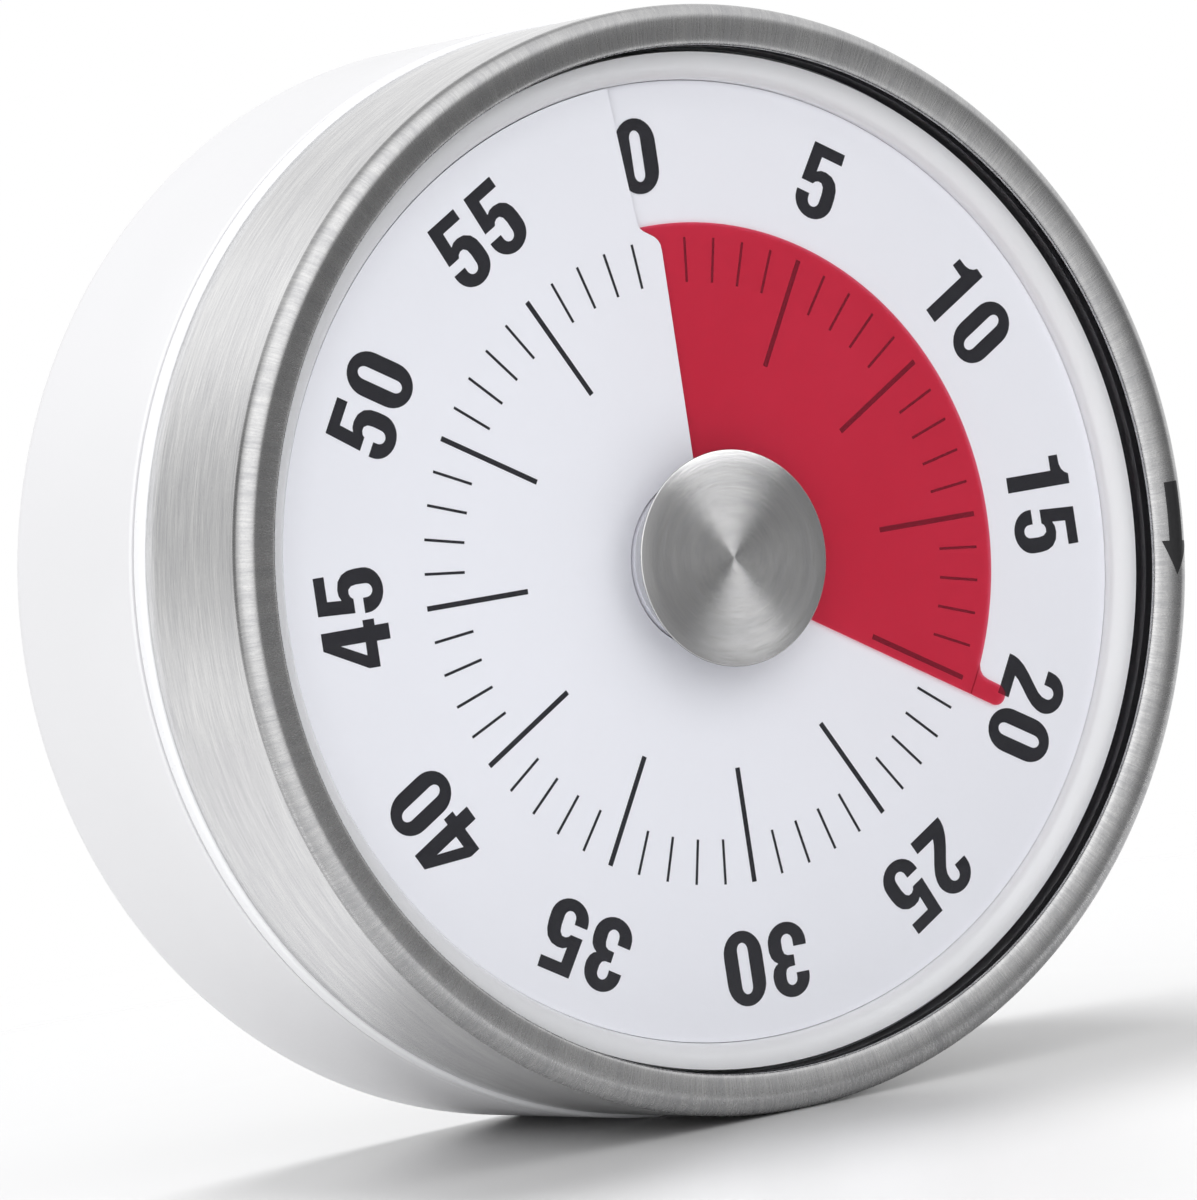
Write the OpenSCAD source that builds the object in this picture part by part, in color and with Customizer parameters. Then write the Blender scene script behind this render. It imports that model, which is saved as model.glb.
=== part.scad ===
// Round sixty-minute kitchen timer: steel grip ring over a white drum, a slit
// dial with a red film that shows the time left, a spring movement and a bell
// behind it, and magnets in the back.
// Every shape is drawn with its axis along Z and the dial towards +Z, then
// turned so that the dial faces -Y and the zero mark points to +Z.
// The origin is the centre of the flat rear face.

/* [Outside] */
// Outside radius of the grip ring
ring_r = 40; // [39.9:0.05:40.1]
// Outside radius of the white drum and of the collar behind the ring
drum_r = 40.3; // [40.1:0.1:40.4]
// Height of the drum's rear edge above the resting face
drum_rear = 0.5; // [0.4:0.1:0.6]
// Radius of the drum's rear corner
drum_round = 3; // [2:0.5:4]
// Wall thickness of the drum
drum_wall = 1.8; // [1.5:0.1:2.2]
// Radius of the round edge at the front of the grip ring
ring_round = 1.2; // [1:0.1:1.3]
// Sheet thickness of the grip ring
ring_sheet = 0.5; // [0.4:0.05:0.6]
// Radius of the window in the grip ring
window_r = 37; // [36.95:0.05:37.05]

/* [Dial] */
// Height of the dial's face above the rear face
dial_z = 33; // [32.9:0.05:33.1]
// Radius of the dial
dial_r = 34.66; // [34.5:0.02:34.68]
// Height that the red film climbs in one turn
climb = 1; // [0.9:0.05:1.1]
// How far the lips of the dial's slit stand off, one down and one up
lip = 0.35; // [0.3:0.05:0.4]
// Thickness of the dial
dial_t = 0.24; // [0.2:0.02:0.26]
// Radius of the red film
film_r = 24.45; // [23:0.05:24.5]
// Thickness of the red film
film_t = 0.14; // [0.1:0.02:0.16]
// Minutes shown on the dial
minutes = 20; // [1:1:59]
// Radius of the steel cap in the middle
cap_r = 7.8; // [7:0.1:8]

/* [Movement] */
// Share of the pitch that a tooth takes
tooth_share = 0.4; // [0.36:0.01:0.42]
// Radius of the movement's plates
plate_r = 33; // [32.5:0.1:33.1]

/* [Back] */
// Radius of the grip pad on the back
pad_r = 29.5; // [28:0.5:30]
// Radius of each magnet
magnet_r = 6; // [5:0.5:6.5]
// Distance of each magnet from the middle
magnet_pcd_r = 18; // [17:0.5:19]

/* [Hidden] */
$fn = 96;

// Tooth size of the great wheel and its pinions, and of the faster wheels
mod_a = 0.4;
mod_b = 0.3;

// Heights, from the rear face forwards
pad_t = 0.8;
drum_top = 20.6;
lip_z0 = 20.9;
lip_z1 = 22.3;
neck_r = 36.7;
neck_top = 31.2;
seat_z0 = 29.3;
ring_front = dial_z + 3.6;
lens_z = dial_z + 2.04;
cap_front = dial_z + 3.9;
dial_m = dial_z - dial_t / 2;
plate_z0 = 14;
plate_z1 = 25;
plate_t = 1;

// Where the arbors stand, seen from the front with the zero mark up
a_gs = 210;
second_p = [17.6 * cos(a_gs), 17.6 * sin(a_gs)];
third_p = [-13.47, -18.85];
escape_p = [-3.87, -18.85];
pallet_p = [2.63, -18.85];
balance_p = [10.63, -18.85];
a_ga = 60;
alarm_p = [18 * cos(a_ga), 18 * sin(a_ga)];
hammer_p = [25.5 * cos(a_ga), 25.5 * sin(a_ga)];
pillar_a = [-90, -20, 50, 170];
pillar_d = 30;
post_a = [15, 105, 195, 315];
post_d = 30;
screw_a = [45, 135, 225, 315];
screw_d = 34;
magnet_a = [90, 210, 330];
head_p = [24.6 * cos(28), 24.6 * sin(28)];
tail_p = [9.9 * cos(95), 9.9 * sin(95)];

// Direction from one arbor to another, in degrees
function dir(a, b) = atan2(b[1] - a[1], b[0] - a[0]);
// Phase of a wheel that meshes with another of known phase
function mesh(al, pa, na, nb) = al + 180 + 180 / nb + (al - pa) * na / nb;
phase_g = 0;
phase_s = mesh(a_gs, phase_g, 80, 8);
phase_al = mesh(a_ga, phase_g, 80, 10);
phase_t = mesh(dir(second_p, third_p), phase_s, 60, 8);
phase_e = mesh(dir(third_p, escape_p), phase_t, 56, 8);

// Involute helpers
function inv(a) = tan(a) - a * PI / 180;
function half_a(n, m, r) =
    let (rb = n * m / 2 * cos(20), a = r > rb ? acos(rb / r) : 0)
    360 / n * tooth_share / 2 + (inv(20) - inv(a)) * 180 / PI;
function radii(n, m) =
    let (rp = n * m / 2, rb = rp * cos(20))
    n > 20 ? [rp - 1.1 * m, rp, rp + 0.75 * m]
           : [rp - 1.1 * m, rb, rp, rp + 0.4 * m, rp + 0.75 * m];
function gear_pts(n, m) =
    let (rr = radii(n, m), k = len(rr))
    [for (i = [0:n - 1])
        each concat(
            [for (j = [0:k - 1]) let (a = i * 360 / n - half_a(n, m, rr[j]))
                [rr[j] * cos(a), rr[j] * sin(a)]],
            [for (j = [k - 1:-1:0]) let (a = i * 360 / n + half_a(n, m, rr[j]))
                [rr[j] * cos(a), rr[j] * sin(a)]])];

// Points on an arc
function arc(c, r, a0, a1, n) =
    [for (i = [0:n]) let (a = a0 + (a1 - a0) * i / n)
        [c[0] + r * cos(a), c[1] + r * sin(a)]];

// Outline of a flat spiral strip
function spiral(r0, r1, turns, w, per) =
    let (n = turns * per)
    concat([for (i = [0:n]) let (a = 360 * i / per, r = r0 + (r1 - r0) * i / n + w / 2)
               [r * cos(a), r * sin(a)]],
           [for (i = [n:-1:0]) let (a = 360 * i / per, r = r0 + (r1 - r0) * i / n - w / 2)
               [r * cos(a), r * sin(a)]]);

// Turns a shape drawn with its face up so that its face looks to -Y
module stand() { rotate([90, 0, 0]) children(); }
module at(p, z = 0) { translate([p[0], p[1], z]) children(); }
module ringpos(angles, d) { for (a = angles) translate([d * cos(a), d * sin(a), 0]) children(); }
module tube(r1, r0, z0, z1) {
    difference() {
        translate([0, 0, z0]) cylinder(r = r1, h = z1 - z0);
        translate([0, 0, z0 - 1]) cylinder(r = r0, h = z1 - z0 + 2);
    }
}
module rod(r, z0, z1, f = 32) { translate([0, 0, z0]) cylinder(r = r, h = z1 - z0, $fn = f); }

// Height of the dial over its middle at a clockwise angle from the zero mark:
// low after the slit, level round the back, high before the slit
function lips(c) = c < 180 ? min(0, climb * c / 360 - lip) : max(0, climb * (c - 360) / 360 + lip);

// A sheet that goes round, clockwise from the zero mark.
// rs: radii; c0, c1: first and last angle at each radius; top and bot: heights;
// film: true for a steady climb, false for the dial's two lips; flat: true
// where the underside stays level.
module climber(rs, c0, c1, top, bot, n, film = true, flat = false) {
    nr = len(rs);
    function up(c) = film ? climb * c / 360 : lips(c);
    function pt(i, j, s) =
        let (c = c0[j] + (c1[j] - c0[j]) * i / n)
        [rs[j] * sin(c), rs[j] * cos(c),
         s == 1 ? top + up(c) : (flat ? bot : bot + up(c))];
    function id(i, j, s) = (i * nr + j) * 2 + s;
    function quad(a, b, c, d) = [[a, b, c], [a, c, d]];
    pts = [for (i = [0:n]) for (j = [0:nr - 1]) for (s = [0:1]) pt(i, j, s)];
    faces = concat(
        [for (i = [0:n - 1]) for (j = [0:nr - 2]) each quad(id(i, j, 1), id(i, j + 1, 1), id(i + 1, j + 1, 1), id(i + 1, j, 1))],
        [for (i = [0:n - 1]) for (j = [0:nr - 2]) each quad(id(i, j, 0), id(i + 1, j, 0), id(i + 1, j + 1, 0), id(i, j + 1, 0))],
        [for (i = [0:n - 1]) each quad(id(i, nr - 1, 0), id(i + 1, nr - 1, 0), id(i + 1, nr - 1, 1), id(i, nr - 1, 1))],
        [for (i = [0:n - 1]) each quad(id(i, 0, 1), id(i + 1, 0, 1), id(i + 1, 0, 0), id(i, 0, 0))],
        [for (j = [0:nr - 2]) each quad(id(0, j + 1, 1), id(0, j, 1), id(0, j, 0), id(0, j + 1, 0))],
        [for (j = [0:nr - 2]) each quad(id(n, j, 1), id(n, j + 1, 1), id(n, j + 1, 0), id(n, j, 0))]);
    polyhedron(points = pts, faces = faces);
}

// ---- fixed pieces ---------------------------------------------------------

module housing() {
    color("white") stand() {
        difference() {
            union() {
                rotate_extrude($fn = 180) polygon(concat(
                    [[36.8, 2.5], [36.8, drum_rear]],
                    arc([drum_r - drum_round, drum_rear + drum_round], drum_round, -90, 0, 12),
                    [[drum_r, drum_top], [neck_r, drum_top], [neck_r, 24.9], [36, 24.9],
                     [36, 26.5], [neck_r, 26.5], [neck_r, neck_top], [34.9, neck_top],
                     [34.9, seat_z0], [33.4, seat_z0], [33.4, drum_top - 1.8],
                     [drum_r - drum_wall, drum_top - 1.8], [drum_r - drum_wall, 4.5],
                     [31.5, 4.5], [31.5, 2.5]]));
                ringpos(screw_a, screw_d) rod(2.6, 3, 9);
            }
            ringpos(screw_a, screw_d) rod(1.02, 2, 8.2);
        }
    }
}

module rear_cover() {
    color("white") stand() {
        difference() {
            union() {
                rotate_extrude($fn = 180) polygon([[0, 0.8], [pad_r + 0.2, 0.8],
                    [pad_r + 0.2, 0.5], [36.1, 0.5], [36.6, 0.9], [36.6, 2.35], [0, 2.35]]);
                ringpos(magnet_a, magnet_pcd_r) rod(magnet_r + 1.2, 2, 4.2, 64);
                tube(30.6, 29.4, 2.2, 3.6);
            }
            ringpos(magnet_a, magnet_pcd_r) rod(magnet_r + 0.1, 0.5, 3.35, 64);
            ringpos(screw_a, screw_d) { rod(2.2, 0, 1.5); rod(1.15, 1, 3); }
        }
    }
}

module rear_pad() { color("gainsboro") stand() cylinder(r = pad_r, h = pad_t, $fn = 180); }

module magnets() { color("silver") stand() ringpos(magnet_a, magnet_pcd_r) rod(magnet_r, 0.85, 3.3, 64); }

// One countersunk-style screw, head down at z0, shank up
module screw(hr, hh, sr, sh, slot = 0.5) {
    difference() {
        cylinder(r = hr, h = hh, $fn = 32);
        translate([-hr - 1, -slot / 2, -1]) cube([2 * hr + 2, slot, 1 + hh * 0.45]);
        translate([-slot / 2, -hr * 0.62, -1]) cube([slot, hr * 1.24, 1 + hh * 0.45]);
    }
    translate([0, 0, hh * 0.9]) cylinder(r = sr, h = sh + hh * 0.1, $fn = 24);
}

module cover_screws() {
    color("silver") stand() for (i = [0:3]) rotate([0, 0, screw_a[i]])
        translate([screw_d, 0, 0.6]) rotate([0, 0, 17 + 29 * i]) screw(2, 0.85, 1, 6);
}

module plate_blank(z0) {
    difference() {
        translate([0, 0, z0]) cylinder(r = plate_r, h = plate_t, $fn = 120);
        ringpos(pillar_a, pillar_d) rod(1, z0 - 1, z0 + 2);
        at([0, 0]) rod(2.06, z0 - 1, z0 + 2, 48);
        for (p = [second_p, third_p, escape_p, pallet_p, balance_p, alarm_p])
            at(p) rod(0.56, z0 - 1, z0 + 2, 24);
        at(hammer_p) rod(0.86, z0 - 1, z0 + 2, 24);
    }
}

module back_plate() {
    color("goldenrod") stand() difference() {
        plate_blank(plate_z0);
        // lightening windows
        for (a = [135, 345]) rotate([0, 0, a]) translate([21, 0, plate_z0 - 1]) cylinder(r = 5, h = 3, $fn = 48);
        for (a = [115, 250]) ringpos([a], 26) rod(2.4, plate_z0 - 1, plate_z0 + 2);
    }
}

module front_plate() {
    color("goldenrod") stand() difference() {
        plate_blank(plate_z1);
        ringpos(post_a, post_d) rod(1.1, plate_z1 - 1, plate_z1 + 2);
        for (a = [135, 15]) rotate([0, 0, a]) translate([20, 0, plate_z1 - 1]) cylinder(r = 4.5, h = 3, $fn = 48);
    }
}

module pillars() {
    color("silver") stand() difference() {
        ringpos(pillar_a, pillar_d) rod(1.8, plate_z0 + plate_t, plate_z1);
        ringpos(pillar_a, pillar_d) { rod(0.9, plate_z0, plate_z0 + 4.4, 24); rod(0.9, plate_z1 - 3.4, plate_z1 + 1, 24); }
    }
}

module plate_screws() {
    color("silver") stand() {
        ringpos(pillar_a, pillar_d) translate([0, 0, plate_z0 - 1]) screw(1.8, 1, 0.88, 4);
        ringpos(pillar_a, pillar_d) translate([0, 0, plate_z1 + plate_t + 1]) mirror([0, 0, 1]) screw(1.8, 1, 0.88, 4);
    }
}

module dial_seat() {
    color("white") stand() {
        difference() {
            union() {
                translate([0, 0, seat_z0]) cylinder(r = 34.8, h = 1.9, $fn = 180);
                ringpos(post_a, post_d) rod(2.4, plate_z1 + plate_t, seat_z0 + 1);
            }
            rod(2.6, seat_z0 - 1, neck_top + 1, 48);
            ringpos(post_a, post_d) rod(0.92, plate_z1, seat_z0 + 1, 24);
        }
        // ledge that carries the dial's rim and climbs with it
        climber([29, dial_r], [-5.5, -5.5], [348, 348],
                dial_m - dial_t / 2 - 0.03, neck_top - 0.5, 90, false, true);
    }
}

module seat_screws() {
    color("silver") stand() ringpos(post_a, post_d) translate([0, 0, plate_z1 - 1]) screw(1.9, 1, 0.9, 4.6);
}

module dial() {
    color("white") stand() climber(
        [6.4, 24.1, 24.4, 24.7, dial_r], [0, 0, -1.8, -5.5, -5.5],
        [360, 360, 358.4, 356.3, 356.2],
        dial_m + dial_t / 2, dial_m - dial_t / 2, 90, false);
}

module dial_frame() {
    color("white") stand() rotate_extrude($fn = 180) polygon(concat(
        [[34.78, neck_top + 0.02], [36.75, neck_top + 0.02], [36.75, dial_z + 0.9]],
        [for (i = [0:8]) let (t = 90 - 90 * i / 8)
            [36.75 - 1.97 * cos(t) * (t < 90 ? 1 : 0), dial_z + 1.2 * sin(t)]],
        [[34.78, dial_z]]));
}

module bell() {
    color("silver") stand() difference() {
        rotate_extrude($fn = 120) polygon(concat(
            [[0, 6.6]],
            [for (i = [0:10]) let (t = 90 * i / 10) [12 + 10 * sin(t), 12.5 - 5.9 * cos(t)]],
            [for (i = [10:-1:0]) let (t = 90 * i / 10) [12 + 9.2 * sin(t), 12.5 - 5.1 * cos(t)]],
            [[0, 7.4]]));
        rod(1.15, 5, 9);
    }
}

module bell_post() {
    color("goldenrod") stand() difference() {
        union() { rod(5, 13, plate_z0, 48); rod(2.5, 7.4, 13.5, 48); }
        rod(1, 6, 11);
    }
}

module bell_screw() { color("silver") stand() translate([0, 0, 5.4]) screw(2.5, 1.2, 0.98, 4); }

module mainspring() {
    color("steelblue") stand() {
        translate([0, 0, 19.2]) linear_extrude(5.2) polygon(spiral(3.7, 13.1, 6, 0.4, 30));
        at([13.1, 0]) rod(0.75, 19.2, plate_z1);
    }
}

module hairspring() {
    color("steelblue") stand() at(balance_p) rotate([0, 0, -60]) {
        translate([0, 0, 19.4]) linear_extrude(0.6) polygon(spiral(1.4, 4.9, 5, 0.15, 24));
        at([4.9, 0]) rod(0.5, plate_z0 + plate_t, 20.2, 24);
    }
}

// ---- pieces that turn with the ring ----------------------------------------

// The steel face rises a little from the window to a crown, then rolls over
module bezel_ring() {
    ci = ring_r - ring_round;
    ri = ring_round - ring_sheet;
    color("silver") stand() rotate_extrude($fn = 180) polygon(concat(
        [[ring_r, lip_z1]],
        arc([ci, ring_front - ring_round], ring_round, 0, 90, 12),
        [[window_r + 0.9, ring_front - 0.12], [window_r + 0.25, ring_front - 0.3],
         [window_r + 0.07, ring_front - 0.38], [window_r, ring_front - 0.55],
         [window_r, ring_front - 0.75], [window_r + 0.1, ring_front - 0.75]],
        arc([ci, ring_front - ring_round], ri, 90, 0, 8),
        [[ring_r - ring_sheet, lip_z1]]));
}

module ring_carrier() {
    color("white") stand() rotate_extrude($fn = 180) polygon([
        [37.05, lip_z0], [drum_r - 0.3, lip_z0], [drum_r, lip_z0 + 0.3], [drum_r, lip_z1 - 0.16], [drum_r - 0.15, lip_z1 - 0.01],
        [ring_r - 0.55, lip_z1 - 0.01], [ring_r - 0.55, dial_z + 0.4], [37.05, dial_z + 0.4],
        [37.05, 26.1], [36.35, 25.9], [36.35, 25.5], [37.05, 25.3]]);
}

module lens_gasket() {
    color("black") stand() rotate_extrude($fn = 180) polygon([
        [37, dial_z + 0.42], [39.4, dial_z + 0.42], [39.4, dial_z + 2.3], [39, dial_z + 2.65],
        [38.3, dial_z + 2.75], [38.3, lens_z - 0.02], [37, lens_z - 0.02]]);
}

// Height of the lens's dome above its rim at radius r
function dome(r) = 0.7 * (1 - pow(r / 37, 2));
module lens() {
    color("lightcyan", 0.3) stand() difference() {
        rotate_extrude($fn = 180) polygon(concat(
            [[0, lens_z + 0.85 * dome(0)]],
            [for (i = [1:12]) let (r = 37 * i / 12) [r, lens_z + 0.85 * dome(r)]],
            [[38.2, lens_z], [38.2, lens_z + 0.56], [37.9, lens_z + 0.76]],
            [for (i = [12:-1:1]) let (r = 36.9 * i / 12) [r, lens_z + 0.76 + dome(r)]],
            [[0, lens_z + 0.76 + dome(0)]]));
        rod(2.6, dial_z, dial_z + 6, 48);
    }
}

module centre_cap() {
    color("lightgray") stand() {
        rotate_extrude($fn = 120) polygon([[0, cap_front - 0.38], [cap_r - 0.08, cap_front - 0.38],
            [cap_r, cap_front - 0.3], [cap_r, cap_front - 0.08], [cap_r - 0.08, cap_front], [0, cap_front]]);
        rod(2.5, 33.5, cap_front - 0.2, 48);
    }
}

module drive_hub() {
    color("white") stand() difference() {
        union() { rod(5, 31.5, 35.4, 64); rod(3.6, 31.4, 32, 48); }
        rod(2.02, 30, 33.45, 48);
        rod(2.54, 33.45, 37, 48);
    }
}

module main_arbor() {
    color("silver") stand() {
        rod(2, plate_z0 + 0.02, 33.4, 48);
        rod(3.1, 18.8, 24.7, 48);
    }
}

module great_wheel() {
    color("goldenrod") stand() difference() {
        union() {
            translate([0, 0, 16]) rotate([0, 0, phase_g]) linear_extrude(1.2) polygon(gear_pts(80, mod_a));
            rod(4.2, 15.4, 18.6, 48);
        }
        rod(2.01, 14, 20, 48);
        for (a = [30:60:330]) rotate([0, 0, a]) translate([9.8, 0, 15]) cylinder(r = 3.1, h = 3, $fn = 40);
    }
}

module release_cam() {
    color("white") stand() difference() {
        union() { rod(9, 26.8, 27.9, 96); rod(3.8, 26.4, 29, 48); }
        rod(2.01, 26, 30, 48);
        // notch that stands under the lever when the time has run out
        rotate([0, 0, 95 - minutes * 6]) translate([7.2, -1.3, 26]) cube([3, 2.6, 3]);
    }
}

// ---- red film ---------------------------------------------------------------

lead = minutes * 6 + 0.4;
module red_disc() {
    rr = [6.3, 12, 18, film_r];
    color("crimson") stand() {
        climber(rr, [for (r = rr) lead - 364.4], [for (r = rr) lead + asin(0.75 / r)],
                dial_m + film_t / 2, dial_m - film_t / 2, 90);
        translate([0, 0, dial_m + climb * lead / 360 - film_t / 2]) rotate([0, 0, -lead])
            linear_extrude(film_t) polygon(concat(
                [[0.75, 24], [0.75, 24.6]],
                arc([0, 26.5], 0.78, 0, 180, 12),
                [[-0.8, 25.3], [-1.0, 24.8], [-1.6, 24.3], [-1.6, 24]]));
    }
}

module film_hub() { color("white") stand() tube(6.25, 5.1, dial_z - 0.95, dial_z + 0.45); }

// ---- going train --------------------------------------------------------------

module arbor(n, m, phase, z0, z1) {
    difference() {
        union() {
            rod(0.7, plate_z0 + plate_t + 0.2, plate_z1 - 0.2, 24);
            rod(0.5, plate_z0 + 0.05, plate_z1 + plate_t - 0.05, 24);
            translate([0, 0, z0]) rotate([0, 0, phase]) linear_extrude(z1 - z0) polygon(gear_pts(n, m));
        }
    }
}
module wheel(n, m, phase, z0, t, spoke_r, hole_r) {
    difference() {
        union() {
            translate([0, 0, z0]) rotate([0, 0, phase]) linear_extrude(t) polygon(gear_pts(n, m));
            rod(1.6, z0 - 0.2, z0 + t + 0.2, 32);
        }
        rod(0.71, z0 - 1, z0 + t + 1, 24);
        for (a = [0:72:288]) rotate([0, 0, a]) translate([spoke_r, 0, z0 - 1]) cylinder(r = hole_r, h = t + 2, $fn = 32);
    }
}

module second_arbor() { color("silver") stand() at(second_p) arbor(8, mod_a, phase_s, 15.6, 17.6); }
module second_wheel() { color("goldenrod") stand() at(second_p) wheel(60, mod_b, phase_s, 18, 0.8, 5, 2.1); }
module third_arbor() { color("silver") stand() at(third_p) arbor(8, mod_b, phase_t, 17.6, 19.3); }
module third_wheel() { color("goldenrod") stand() at(third_p) wheel(56, mod_b, phase_t, 20, 0.8, 4.7, 1.9); }
module escape_arbor() { color("silver") stand() at(escape_p) arbor(8, mod_b, phase_e, 19.6, 21.3); }

module escape_wheel() {
    n = 15;
    color("goldenrod") stand() at(escape_p) difference() {
        union() {
            translate([0, 0, 22]) linear_extrude(0.6) polygon([for (i = [0:n - 1]) each [
                [3.5 * cos(i * 24), 3.5 * sin(i * 24)],
                [4.3 * cos(i * 24 + 9), 4.3 * sin(i * 24 + 9)],
                [4.3 * cos(i * 24 + 12), 4.3 * sin(i * 24 + 12)],
                [3.5 * cos(i * 24 + 15), 3.5 * sin(i * 24 + 15)]]]);
            rod(1.3, 21.8, 22.9, 32);
        }
        rod(0.71, 21, 24, 24);
        for (a = [0:90:270]) rotate([0, 0, a]) translate([2.3, 0, 21]) cylinder(r = 0.7, h = 3, $fn = 24);
    }
}

module pallet_arbor() {
    color("silver") stand() at(pallet_p) {
        rod(0.7, plate_z0 + plate_t + 0.2, plate_z1 - 0.2, 24);
        rod(0.5, plate_z0 + 0.05, plate_z1 + plate_t - 0.05, 24);
    }
}

module pallet_lever() {
    color("goldenrod") stand() at(pallet_p) difference() {
        union() {
            translate([0, 0, 21.9]) linear_extrude(0.8) polygon([
                [5.2, 0.9], [5.3, 0.35], [4.5, 0.3], [4.5, -0.3], [5.3, -0.35], [5.2, -0.9],
                [3.9, -0.7], [1.2, -0.8], [-0.4, -1.3], [-3.4, -4.6], [-4.3, -4.5],
                [-3.0, -3.4], [-1.1, 0], [-3.0, 3.4], [-4.3, 4.5], [-3.4, 4.6],
                [-0.4, 1.3], [1.2, 0.8], [3.9, 0.7]]);
            rod(1.5, 21.7, 22.9, 32);
            at([-3.85, 4.25]) rod(0.25, 21.4, 23.1, 24);
            at([-3.85, -4.25]) rod(0.25, 21.4, 23.1, 24);
        }
        rod(0.71, 21, 24, 24);
    }
}

module balance_staff() {
    color("silver") stand() at(balance_p) {
        rod(0.7, plate_z0 + plate_t + 0.2, plate_z1 - 0.2, 24);
        rod(0.5, plate_z0 + 0.05, plate_z1 + plate_t - 0.05, 24);
        rod(1.1, 19.3, 20.1, 24);
        rod(1.3, 21.9, 22.6, 32);
        at([-1.9, 0]) rod(0.25, 21.8, 22.8, 24);
        translate([-2, -0.3, 22.65]) cube([2, 0.6, 0.3]);
    }
}

module balance_wheel() {
    color("goldenrod") stand() at(balance_p) difference() {
        union() {
            tube(7, 6, 23.4, 24.4);
            rod(1.6, 23.3, 24.5, 32);
            for (a = [0:120:240]) rotate([0, 0, a]) translate([0, -0.5, 23.5]) cube([6.5, 1, 0.6]);
        }
        rod(0.71, 22, 26, 24);
    }
}

// ---- alarm -----------------------------------------------------------------------

module alarm_arbor() { color("silver") stand() at(alarm_p) arbor(10, mod_a, phase_al, 15.6, 17.6); }

module alarm_wheel() {
    n = 10;
    color("goldenrod") stand() at(alarm_p) difference() {
        union() {
            translate([0, 0, 20]) linear_extrude(0.9) polygon([for (i = [0:n - 1]) each [
                [2.7 * cos(i * 36), 2.7 * sin(i * 36)],
                [3.9 * cos(i * 36 + 16), 3.9 * sin(i * 36 + 16)],
                [3.9 * cos(i * 36 + 20), 3.9 * sin(i * 36 + 20)]]]);
            rod(1.4, 19.8, 21.1, 32);
        }
        rod(0.71, 19, 22, 24);
    }
}

module hammer_arbor() { color("silver") stand() at(hammer_p) rod(0.8, 10, 28, 24); }

// A flat arm from the hammer's arbor to a point
module arm(to, z0, t, w0, w1) {
    d = norm(to - hammer_p);
    rotate([0, 0, dir(hammer_p, to)]) translate([0, 0, z0]) linear_extrude(t)
        polygon([[0, -w0 / 2], [d, -w1 / 2], [d, w1 / 2], [0, w0 / 2]]);
}

module hammer() {
    color("silver") stand() difference() {
        union() {
            at(hammer_p) { arm(head_p, 10.4, 1, 3, 2); rod(2, 10.2, 12.2, 32); }
            at(head_p) rod(1.8, 9.6, 12.4, 48);
        }
        at(hammer_p) rod(0.81, 9, 14, 24);
    }
}

module strike_anchor() {
    color("goldenrod") stand() at(hammer_p) rotate([0, 0, a_ga + 180]) difference() {
        union() {
            translate([0, 0, 20]) linear_extrude(0.9) polygon([
                [-1.2, 0], [0, -1.5], [2.4, -3.4], [5.2, -4.6], [5.6, -4.1], [4.4, -3.4],
                [2.2, -1.4], [2.0, 0], [2.2, 1.4], [4.4, 3.4], [5.6, 4.1], [5.2, 4.6],
                [2.4, 3.4], [0, 1.5]]);
            rod(1.8, 19.8, 21.2, 32);
        }
        rod(0.81, 19, 22, 24);
    }
}

module release_lever() {
    color("silver") stand() difference() {
        union() {
            at(hammer_p) { arm(tail_p, 26.9, 0.8, 2.6, 0.8); rod(1.9, 26.6, 27.8, 32); }
            at(tail_p) rod(0.4, 26.85, 27.8, 24);
        }
        at(hammer_p) rod(0.81, 26, 29, 24);
    }
}

housing();
rear_cover();
rear_pad();
magnets();
cover_screws();
back_plate();
front_plate();
pillars();
plate_screws();
dial_seat();
seat_screws();
dial();
dial_frame();
bell();
bell_post();
bell_screw();
mainspring();
hairspring();
bezel_ring();
ring_carrier();
lens();
lens_gasket();
centre_cap();
drive_hub();
main_arbor();
great_wheel();
release_cam();
red_disc();
film_hub();
second_arbor();
second_wheel();
third_arbor();
third_wheel();
escape_arbor();
escape_wheel();
pallet_arbor();
pallet_lever();
balance_staff();
balance_wheel();
alarm_arbor();
alarm_wheel();
hammer_arbor();
hammer();
strike_anchor();
release_lever();
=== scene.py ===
"""Looks of the sixty-minute kitchen timer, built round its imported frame."""
import math

import bpy
from mathutils import Matrix, Vector
from mathutils.geometry import tessellate_polygon


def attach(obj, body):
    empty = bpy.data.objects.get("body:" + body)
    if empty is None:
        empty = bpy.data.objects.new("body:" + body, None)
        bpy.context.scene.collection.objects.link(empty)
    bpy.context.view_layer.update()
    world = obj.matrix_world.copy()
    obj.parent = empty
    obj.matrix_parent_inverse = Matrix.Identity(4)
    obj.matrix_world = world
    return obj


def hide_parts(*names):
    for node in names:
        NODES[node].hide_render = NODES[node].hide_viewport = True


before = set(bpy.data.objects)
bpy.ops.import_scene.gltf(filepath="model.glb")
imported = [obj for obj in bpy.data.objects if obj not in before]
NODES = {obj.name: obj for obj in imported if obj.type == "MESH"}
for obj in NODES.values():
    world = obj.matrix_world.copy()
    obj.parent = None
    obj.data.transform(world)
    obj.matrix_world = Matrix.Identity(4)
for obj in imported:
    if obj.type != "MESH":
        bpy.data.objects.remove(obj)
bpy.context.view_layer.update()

# ---------------------------------------------------------------- numbers, mm
# r is the distance from the timer's axis and z the height above the flat back,
# both as in the CAD; the dial faces -Y in the row's frame.
DIAL_Z = 33.0
LIP = 0.35
DIAL_T = 0.24
FILM_T = 0.14
LEAD = 120.4
RING_R = 40.0
DRUM_R = 40.3
RING_FRONT = 36.6
RING_ROUND = 1.2
LENS_Z = 35.04
CAP_R = 7.8
CAP_FRONT = 36.9
D = math.radians


def P(x, y, z):
    """Drawing axes (dial towards +z, zero mark towards +y), mm, to the row's frame."""
    return Vector((x, -z, y)) * 0.001


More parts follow.
